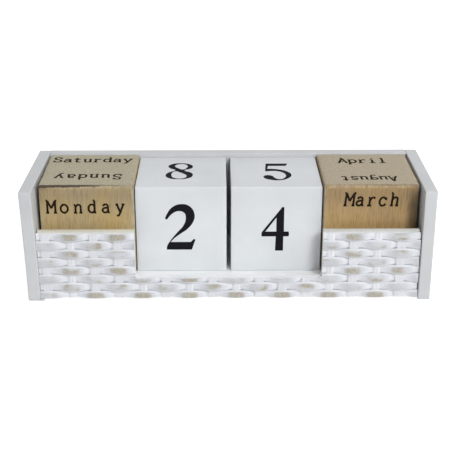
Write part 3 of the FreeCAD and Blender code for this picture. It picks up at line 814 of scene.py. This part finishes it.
# Digits in the unit of their height: an outline and its holes, through rounded and sharp points.
DIGITS = {
    "0": [[(0.29, 1.00, ROUND), (0.09, 0.86, ROUND), (0.00, 0.50, ROUND), (0.09, 0.14, ROUND),
           (0.29, 0.00, ROUND), (0.49, 0.14, ROUND), (0.58, 0.50, ROUND), (0.49, 0.86, ROUND)],
          [(0.29, 0.95, ROUND), (0.18, 0.82, ROUND), (0.15, 0.50, ROUND), (0.18, 0.18, ROUND),
           (0.29, 0.05, ROUND), (0.40, 0.18, ROUND), (0.43, 0.50, ROUND), (0.40, 0.82, ROUND)]],
    "1": [[(0.00, 0.86, SHARP), (0.24, 1.00, SHARP), (0.27, 1.00, SHARP), (0.27, 0.09, SHARP),
           (0.31, 0.04, ROUND), (0.39, 0.03, SHARP), (0.39, 0.00, SHARP), (0.01, 0.00, SHARP),
           (0.01, 0.03, SHARP), (0.09, 0.04, ROUND), (0.13, 0.09, SHARP), (0.13, 0.80, SHARP),
           (0.09, 0.85, ROUND), (0.00, 0.83, SHARP)]],
    "2": [[(0.00, 0.69, SHARP), (0.04, 0.79, ROUND), (0.14, 0.93, ROUND), (0.31, 1.00, ROUND),
           (0.48, 0.95, ROUND), (0.57, 0.77, ROUND), (0.53, 0.59, ROUND), (0.42, 0.45, ROUND),
           (0.29, 0.35, ROUND), (0.19, 0.27, ROUND), (0.10, 0.17, SHARP), (0.49, 0.17, SHARP),
           (0.55, 0.24, SHARP), (0.58, 0.22, SHARP), (0.51, 0.00, SHARP), (0.02, 0.00, SHARP),
           (0.03, 0.08, ROUND), (0.09, 0.19, ROUND), (0.23, 0.38, ROUND), (0.35, 0.53, ROUND),
           (0.40, 0.70, ROUND), (0.37, 0.81, ROUND), (0.27, 0.85, ROUND), (0.15, 0.80, ROUND),
           (0.03, 0.66, SHARP)]],
    "4": [[(0.00, 0.42, SHARP), (0.43, 1.00, SHARP), (0.47, 0.99, SHARP), (0.47, 0.44, SHARP),
           (0.57, 0.44, SHARP), (0.58, 0.38, ROUND), (0.57, 0.33, SHARP), (0.46, 0.33, SHARP),
           (0.46, 0.00, SHARP), (0.29, 0.00, SHARP), (0.30, 0.33, SHARP), (0.00, 0.33, SHARP)],
          [(0.08, 0.44, SHARP), (0.31, 0.44, SHARP), (0.31, 0.76, SHARP)]],
    "5": [[(0.07, 1.00, SHARP), (0.50, 1.00, SHARP), (0.46, 0.86, SHARP), (0.11, 0.86, SHARP),
           (0.09, 0.68, SHARP), (0.25, 0.66, ROUND), (0.43, 0.56, ROUND), (0.54, 0.33, ROUND),
           (0.47, 0.12, ROUND), (0.31, 0.00, ROUND), (0.13, 0.03, ROUND), (0.00, 0.16, ROUND),
           (0.03, 0.28, ROUND), (0.10, 0.30, ROUND), (0.18, 0.24, ROUND), (0.22, 0.12, ROUND),
           (0.31, 0.06, ROUND), (0.40, 0.14, ROUND), (0.43, 0.32, ROUND), (0.36, 0.48, ROUND),
           (0.22, 0.55, ROUND), (0.04, 0.53, SHARP)]],
    "7": [[(0.00, 0.76, SHARP), (0.06, 1.00, SHARP), (0.58, 1.00, SHARP), (0.58, 0.96, SHARP),
           (0.26, 0.00, SHARP), (0.15, 0.00, SHARP), (0.44, 0.86, SHARP), (0.17, 0.86, SHARP),
           (0.08, 0.83, ROUND), (0.03, 0.75, SHARP)]],
    "8": [[(0.29, 1.00, ROUND), (0.12, 0.95, ROUND), (0.035, 0.80, ROUND), (0.09, 0.67, ROUND),
           (0.19, 0.56, ROUND), (0.06, 0.42, ROUND), (0.00, 0.24, ROUND), (0.08, 0.06, ROUND),
           (0.28, 0.00, ROUND), (0.48, 0.06, ROUND), (0.57, 0.25, ROUND), (0.52, 0.41, ROUND),
           (0.39, 0.54, ROUND), (0.52, 0.66, ROUND), (0.56, 0.79, ROUND), (0.47, 0.95, ROUND)],
          [(0.30, 0.95, ROUND), (0.19, 0.88, ROUND), (0.18, 0.79, ROUND), (0.25, 0.68, ROUND),
           (0.36, 0.60, ROUND), (0.43, 0.70, ROUND), (0.45, 0.81, ROUND), (0.40, 0.92, ROUND)],
          [(0.21, 0.49, ROUND), (0.13, 0.38, ROUND), (0.12, 0.24, ROUND), (0.17, 0.09, ROUND),
           (0.30, 0.04, ROUND), (0.41, 0.09, ROUND), (0.44, 0.20, ROUND), (0.38, 0.33, ROUND),
           (0.28, 0.43, ROUND)]],
}


def stem(x, bottom, top, foot=0.12, left=0.12, right=0.0):
    """The strokes of an upright with its serifs: a foot, and a cap to the left or right on top."""
    strokes = [[(x, bottom), (x, top)]]
    if foot:
        strokes.append([(x - foot, bottom), (x + foot, bottom)])
    if left or right:
        strokes.append([(x - left, top), (x + right, top)])
    return strokes


BOWL = [(0.50, 0.50), (0.38, 0.64), (0.25, 0.66), (0.08, 0.52), (0.04, 0.33), (0.08, 0.14),
        (0.25, 0.00), (0.38, 0.03), (0.50, 0.16)]
ARCH = [(0.10, 0.44), (0.20, 0.60), (0.34, 0.66), (0.47, 0.58), (0.50, 0.40)]

# Typewriter letters in the unit of a capital's height: strokes through two or more points.
LETTERS = {
    "A": [[(0.31, 1.0), (0.05, 0.0)], [(0.31, 1.0), (0.60, 0.0)], [(0.14, 0.34), (0.50, 0.34)],
          [(-0.04, 0.0), (0.15, 0.0)], [(0.48, 0.0), (0.70, 0.0)], [(0.18, 1.0), (0.33, 1.0)]],
    "O": [[(0.31, 1.0), (0.09, 0.82), (0.03, 0.5), (0.09, 0.18), (0.31, 0.0), (0.53, 0.18),
           (0.59, 0.5), (0.53, 0.82), (0.31, 1.0)]],
    "T": stem(0.32, 0, 1, foot=0.14, left=0.28, right=0.28)
    + [[(0.04, 1.0), (0.04, 0.80)], [(0.60, 1.0), (0.60, 0.80)]],
    "M": stem(0.08, 0, 1) + [[(0.08, 1.0), (0.38, 0.36)], [(0.38, 0.36), (0.68, 1.0)]]
    + stem(0.68, 0, 1, left=0, right=0.12),
    "S": [[(0.50, 0.84), (0.40, 0.97), (0.27, 1.0), (0.10, 0.93), (0.05, 0.77), (0.12, 0.62),
           (0.30, 0.52), (0.48, 0.42), (0.54, 0.25), (0.46, 0.07), (0.28, 0.0), (0.12, 0.05),
           (0.04, 0.18)], [(0.50, 1.0), (0.50, 0.74)], [(0.04, 0.28), (0.04, 0.0)]],
    "a": [[(0.10, 0.52), (0.16, 0.62), (0.30, 0.66), (0.43, 0.60), (0.47, 0.48)],
          [(0.47, 0.48), (0.47, 0.02)], [(0.44, 0.0), (0.60, 0.0)],
          [(0.47, 0.38), (0.30, 0.38), (0.12, 0.32), (0.05, 0.18), (0.12, 0.03), (0.26, 0.0),
           (0.40, 0.06), (0.47, 0.18)]],
    "b": [[(0.60 - x, y) for x, y in BOWL]] + stem(0.10, 0, 1, foot=0),
    "c": [BOWL[:-1] + [(0.52, 0.14)], [(0.50, 0.66), (0.50, 0.44)]],
    "d": [BOWL] + stem(0.50, 0, 1, foot=0) + [[(0.46, 0.0), (0.62, 0.0)]],
    "e": [[(0.05, 0.36), (0.52, 0.36)],
          [(0.52, 0.36), (0.46, 0.57), (0.29, 0.66), (0.11, 0.56), (0.04, 0.33), (0.11, 0.09),
           (0.29, 0.0), (0.50, 0.11)]],
    "g": [[(x - 0.03, 0.30 + 0.54 * y) for x, y in BOWL], [(0.47, 0.66), (0.47, -0.08)],
          [(0.47, -0.08), (0.40, -0.24), (0.25, -0.28), (0.08, -0.22)],
          [(0.44, 0.66), (0.60, 0.66)]],
    "h": stem(0.10, 0, 1) + [ARCH] + stem(0.50, 0, 0.40, left=0),
    "i": stem(0.30, 0, 0.64, foot=0.2, left=0.16) + [[(0.30, 0.84), (0.30, 0.97)]],
    "l": stem(0.30, 0, 1, foot=0.2, left=0.16),
    "n": stem(0.10, 0, 0.64) + [ARCH] + stem(0.50, 0, 0.40, left=0),
    "o": [[(0.30, 0.66), (0.08, 0.52), (0.03, 0.33), (0.08, 0.14), (0.30, 0.0), (0.52, 0.14),
           (0.57, 0.33), (0.52, 0.52), (0.30, 0.66)]],
    "p": [[(0.60 - x, y) for x, y in BOWL]] + stem(0.10, -0.30, 0.64),
    "r": stem(0.16, 0, 0.64, foot=0.16) + [[(0.16, 0.40), (0.28, 0.60), (0.42, 0.66),
                                            (0.53, 0.56)]],
    "s": [[(0.47, 0.52), (0.38, 0.63), (0.26, 0.66), (0.12, 0.60), (0.11, 0.46), (0.28, 0.36),
           (0.45, 0.27), (0.49, 0.12), (0.38, 0.01), (0.24, 0.0), (0.12, 0.05), (0.06, 0.16)],
          [(0.47, 0.66), (0.47, 0.50)], [(0.06, 0.18), (0.06, 0.0)]],
    "t": [[(0.22, 0.90), (0.22, 0.16)], [(0.22, 0.16), (0.26, 0.03), (0.38, 0.0), (0.52, 0.08)],
          [(0.04, 0.64), (0.46, 0.64)]],
    "u": stem(0.10, 0.18, 0.64, foot=0)
    + [[(0.10, 0.20), (0.15, 0.04), (0.28, 0.0), (0.42, 0.05), (0.50, 0.18)]]
    + stem(0.50, 0, 0.64, foot=0) + [[(0.48, 0.0), (0.62, 0.0)]],
    "y": [[(0.08, 0.64), (0.33, 0.02)], [(0.58, 0.64), (0.28, -0.16)],
          [(0.28, -0.16), (0.19, -0.27), (0.06, -0.26)], [(-0.02, 0.64), (0.20, 0.64)],
          [(0.46, 0.64), (0.68, 0.64)]],
}


def add_spline(curve, points, closed):
    """Adds a curved stroke or outline through (x, y, kind) points."""
    spline = curve.splines.new("BEZIER")
    spline.bezier_points.add(len(points) - 1)
    for point, (x, y, kind) in zip(spline.bezier_points, points):
        point.co = (x, y, 0)
        point.handle_left_type = point.handle_right_type = kind
    spline.use_cyclic_u = closed
    spline.resolution_u = 6


def on_face(right, up, corner, size):
    """Places unit drawings on a face: right and up as they are read, from this corner, this big."""
    right, up = Vector(right), Vector(up)
    out = right.cross(up)
    placing = Matrix((right * size[0], up * size[1], out * size[2])).transposed().to_4x4()
    placing.translation = corner
    return placing


def digit_reach(digit):
    """How wide a digit is, in the unit of its height."""
    return max(point[0] for point in DIGITS[digit][0])


def draw_digit(digit, right, up, corner, width, height):
    """A digit of this size with its lower left corner here."""
    curve = bpy.data.curves.new("digit_" + digit, "CURVE")
    curve.dimensions = "2D"
    curve.fill_mode = "BOTH"
    curve.extrude = 0.5
    for outline in DIGITS[digit]:
        add_spline(curve, outline, closed=True)
    size = (width / digit_reach(digit), height, INK_THICKNESS)
    return mesh_from_curve(curve, INK_MERGE_MM, on_face(right, up, corner, size))


def draw_word(word, right, up, corner, height, pitch, slant=0.0):
    """A word in spaced typewriter letters, each a hair off the line and the upright."""
    curve = bpy.data.curves.new("word_" + word.lower(), "CURVE")
    curve.dimensions = "3D"
    curve.bevel_depth = STROKE / 2
    curve.bevel_resolution = 2
    curve.use_fill_caps = True
    for number, letter in enumerate(word):
        lift = LETTER_DRIFT * noise.noise(Vector((number * 1.9, len(word), 0.7)))
        start = number * pitch / height
        for stroke in LETTERS[letter]:
            closed = stroke[0] == stroke[-1]
            kind = ROUND if len(stroke) > 2 else SHARP
            places = [(start + x + slant * y, y + lift, kind) for x, y in stroke]
            add_spline(curve, places[:-1] if closed else places, closed)
    size = (height, height, INK_THICKNESS / STROKE)
    return mesh_from_curve(curve, INK_MERGE_MM, on_face(right, up, corner, size))


def join_ink(name, pieces, material, body):
    """One piece of ink on a block, from its separate marks."""
    ink = join(name, pieces)
    ink.data.materials.clear()
    ink.data.materials.append(material)
    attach(ink, body)


def at(x, y, z):
    """A place given in millimetres."""
    return Vector((x, y, z)) * MM


def draw_in_middle(digit, cube, right):
    """A digit in the middle of the upright face of a cube that runs this way to the right."""
    low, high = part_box(cube)
    right, up = Vector(right), Vector(UP)
    out = right.cross(up)
    width = DIGIT_UNIT * digit_reach(digit)
    corner = ((low + high) / 2 + out * (high.x - low.x) / 2 - right * width / 2
              - up * DIGIT_HEIGHT / 2)
    return draw_digit(digit, right, up, corner, width, DIGIT_HEIGHT)


def ink_cube(cube, front, front_place, front_size, top, top_place, top_size, others):
    """A numeral on the front and on the top of a cube, and one each on its back, left and right."""
    marks = [draw_digit(front, ACROSS, UP, front_place, *front_size),
             draw_digit(top, ACROSS, BACK, top_place, *top_size)]
    for digit, right in zip(others, (TURNED, FORWARD, BACK)):
        marks.append(draw_in_middle(digit, cube, right))
    join_ink(cube + "_ink", marks, DIGIT_INK, cube)


def make_ink():
    """Numerals on the painted cubes, words on the wood blocks."""
    cube_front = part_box("tens_cube")[0].y / MM
    cube_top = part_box("tens_cube")[1].z / MM
    ink_cube("tens_cube", "2", at(-47.7, cube_front, 33.6), (22.4 * MM, 36.7 * MM),
             "8", at(-47.8, -12.0, cube_top), (20.6 * MM, 35.8 * MM), "710")
    ink_cube("units_cube", "4", at(24.1, cube_front, 32.5), (20.6 * MM, 35.3 * MM),
             "5", at(26.1, -14.9, cube_top), (21.2 * MM, 37.4 * MM), "201")
    wood_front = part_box("month_block")[0].y / MM
    wood_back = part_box("month_block")[1].y / MM
    wood_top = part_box("month_block")[1].z / MM
    join_ink("weekday_ink", [
        draw_word("Monday", ACROSS, UP, at(-134.6, wood_front, 64.8), 9.6 * MM, 10.2 * MM),
        draw_word("Saturday", ACROSS, BACK, at(-135.6, 20.4, wood_top), 10.4 * MM, 7.7 * MM),
        draw_word("Sunday", TURNED, FORWARD, at(-80.5, -7.8, wood_top), 10.4 * MM, 8.6 * MM),
        draw_word("Tuesday", TURNED, UP, at(-76.2, wood_back, 60.0), 9.8 * MM, 8.6 * MM),
    ], WORD_INK, "weekday_block")
    join_ink("month_ink", [
        draw_word("March", ACROSS, UP, at(84.5, wood_front, 69.7), 9.8 * MM, 8.5 * MM, slant=0.1),
        draw_word("April", ACROSS, BACK, at(85.0, 17.0, wood_top), 10.6 * MM, 7.8 * MM),
        draw_word("August", TURNED, FORWARD, at(125.0, -13.9, wood_top), 9.8 * MM, 7.2 * MM),
        draw_word("October", TURNED, UP, at(133.4, wood_back, 60.0), 9.8 * MM, 8.6 * MM),
    ], WORD_INK, "month_block")


make_ink()


# ---------------- room, light, camera

FLOOR_SIZE = 8
FLOOR_GLOW = 0.84
ROOM_LIGHT = 0.30
LOOK_AT = Vector((0.0, 0.0, 0.04))
CAMERA_PLACE = (-0.00884, -0.76582, 0.36031)
CAMERA_DOWN_DEGREES = 22.67
CAMERA_ASIDE_DEGREES = 0.50
FOCAL_PIXELS = 1071.9
IMAGE_PIXELS = 452
SENSOR_MM = 36.0


def seen_directly(tree):
    """1 for the camera and for what it sees in a gloss or through glass, 0 for light."""
    ray = add(tree, "LightPath")
    both = add(tree, "Math", {0: ray["Is Camera Ray"], 1: ray["Is Glossy Ray"]}, operation="ADD")[0]
    return add(tree, "Math", {0: both, 1: ray["Is Transmission Ray"]}, operation="ADD",
               use_clamp=True)[0]


def make_floor():
    """A plain pale sheet under the object. It looks white, and the object's shadow on it stays."""
    deselect()
    bpy.ops.mesh.primitive_plane_add(size=FLOOR_SIZE, location=(0, 0, 0))
    floor = bpy.context.object
    floor.name = "studio_floor"
    material, tree, shader = new_material("paper_white_matt", roughness=0.9)
    seen = seen_directly(tree)
    colour = lay(tree, srgb("#f2f2f2"), "#b8b8b8", seen)
    paper = add(tree, "BsdfDiffuse", {"Color": colour})[0]
    glow = add(tree, "Emission", {"Strength": product(tree, seen, FLOOR_GLOW)})[0]
    both = add(tree, "AddShader", {0: paper, 1: glow})[0]
    tree.links.new(both, tree.nodes["Material Output"].inputs["Surface"])
    tree.nodes.remove(shader)
    floor.data.materials.append(material)


def make_world():
    """An even pale room that the camera sees as plain white."""
    world = bpy.data.worlds.new("studio_room")
    bpy.context.scene.world = world
    world.use_nodes = True
    tree = world.node_tree
    tree.nodes.clear()
    strength = zone(tree, (seen_directly(tree), 0.0, 1.0, ROOM_LIGHT, 1.0))
    background = add(tree, "Background", {"Color": (1, 1, 1, 1), "Strength": strength})
    add(tree, "OutputWorld", {"Surface": background[0]})


def lamp_place(round_deg, up_deg, away):
    """A place this far from the object, turned this much from its front to its right, and up."""
    turn, rise = math.radians(round_deg), math.radians(up_deg)
    flat = away * math.cos(rise)
    return LOOK_AT + Vector((flat * math.sin(turn), -flat * math.cos(turn), away * math.sin(rise)))


def make_lamp(name, place, size, watts, shines=True):
    """A square soft white lamp aimed at the object. One that doesn't shine leaves no gloss."""
    lamp = bpy.data.lights.new(name, "AREA")
    lamp.size = size
    lamp.energy = watts
    piece = bpy.data.objects.new(name, lamp)
    piece.location = place
    piece.rotation_euler = (LOOK_AT - place).to_track_quat("-Z", "Y").to_euler()
    piece.visible_glossy = shines
    bpy.context.collection.objects.link(piece)


def make_camera():
    """A long lens that looks slightly down on the object and a touch to its right."""
    camera = bpy.data.cameras.new("camera")
    camera.sensor_width = SENSOR_MM
    camera.lens = FOCAL_PIXELS / IMAGE_PIXELS * SENSOR_MM
    piece = bpy.data.objects.new("camera", camera)
    piece.location = CAMERA_PLACE
    piece.rotation_euler = (math.radians(90 - CAMERA_DOWN_DEGREES), 0,
                            math.radians(-CAMERA_ASIDE_DEGREES))
    bpy.context.collection.objects.link(piece)
    bpy.context.scene.camera = piece


make_floor()
make_world()
make_lamp("key_front_right", lamp_place(25, 36, 3.6), size=1.0, watts=66.0)
make_lamp("side_right", lamp_place(68, 22, 3.6), size=1.2, watts=30.0)
make_lamp("overhead", lamp_place(10, 80, 2.0), size=0.8, watts=7.8)
make_lamp("behind", lamp_place(190, 8, 3.6), size=1.4, watts=14.0, shines=False)
make_camera()
bpy.context.scene.view_settings.view_transform = "Standard"
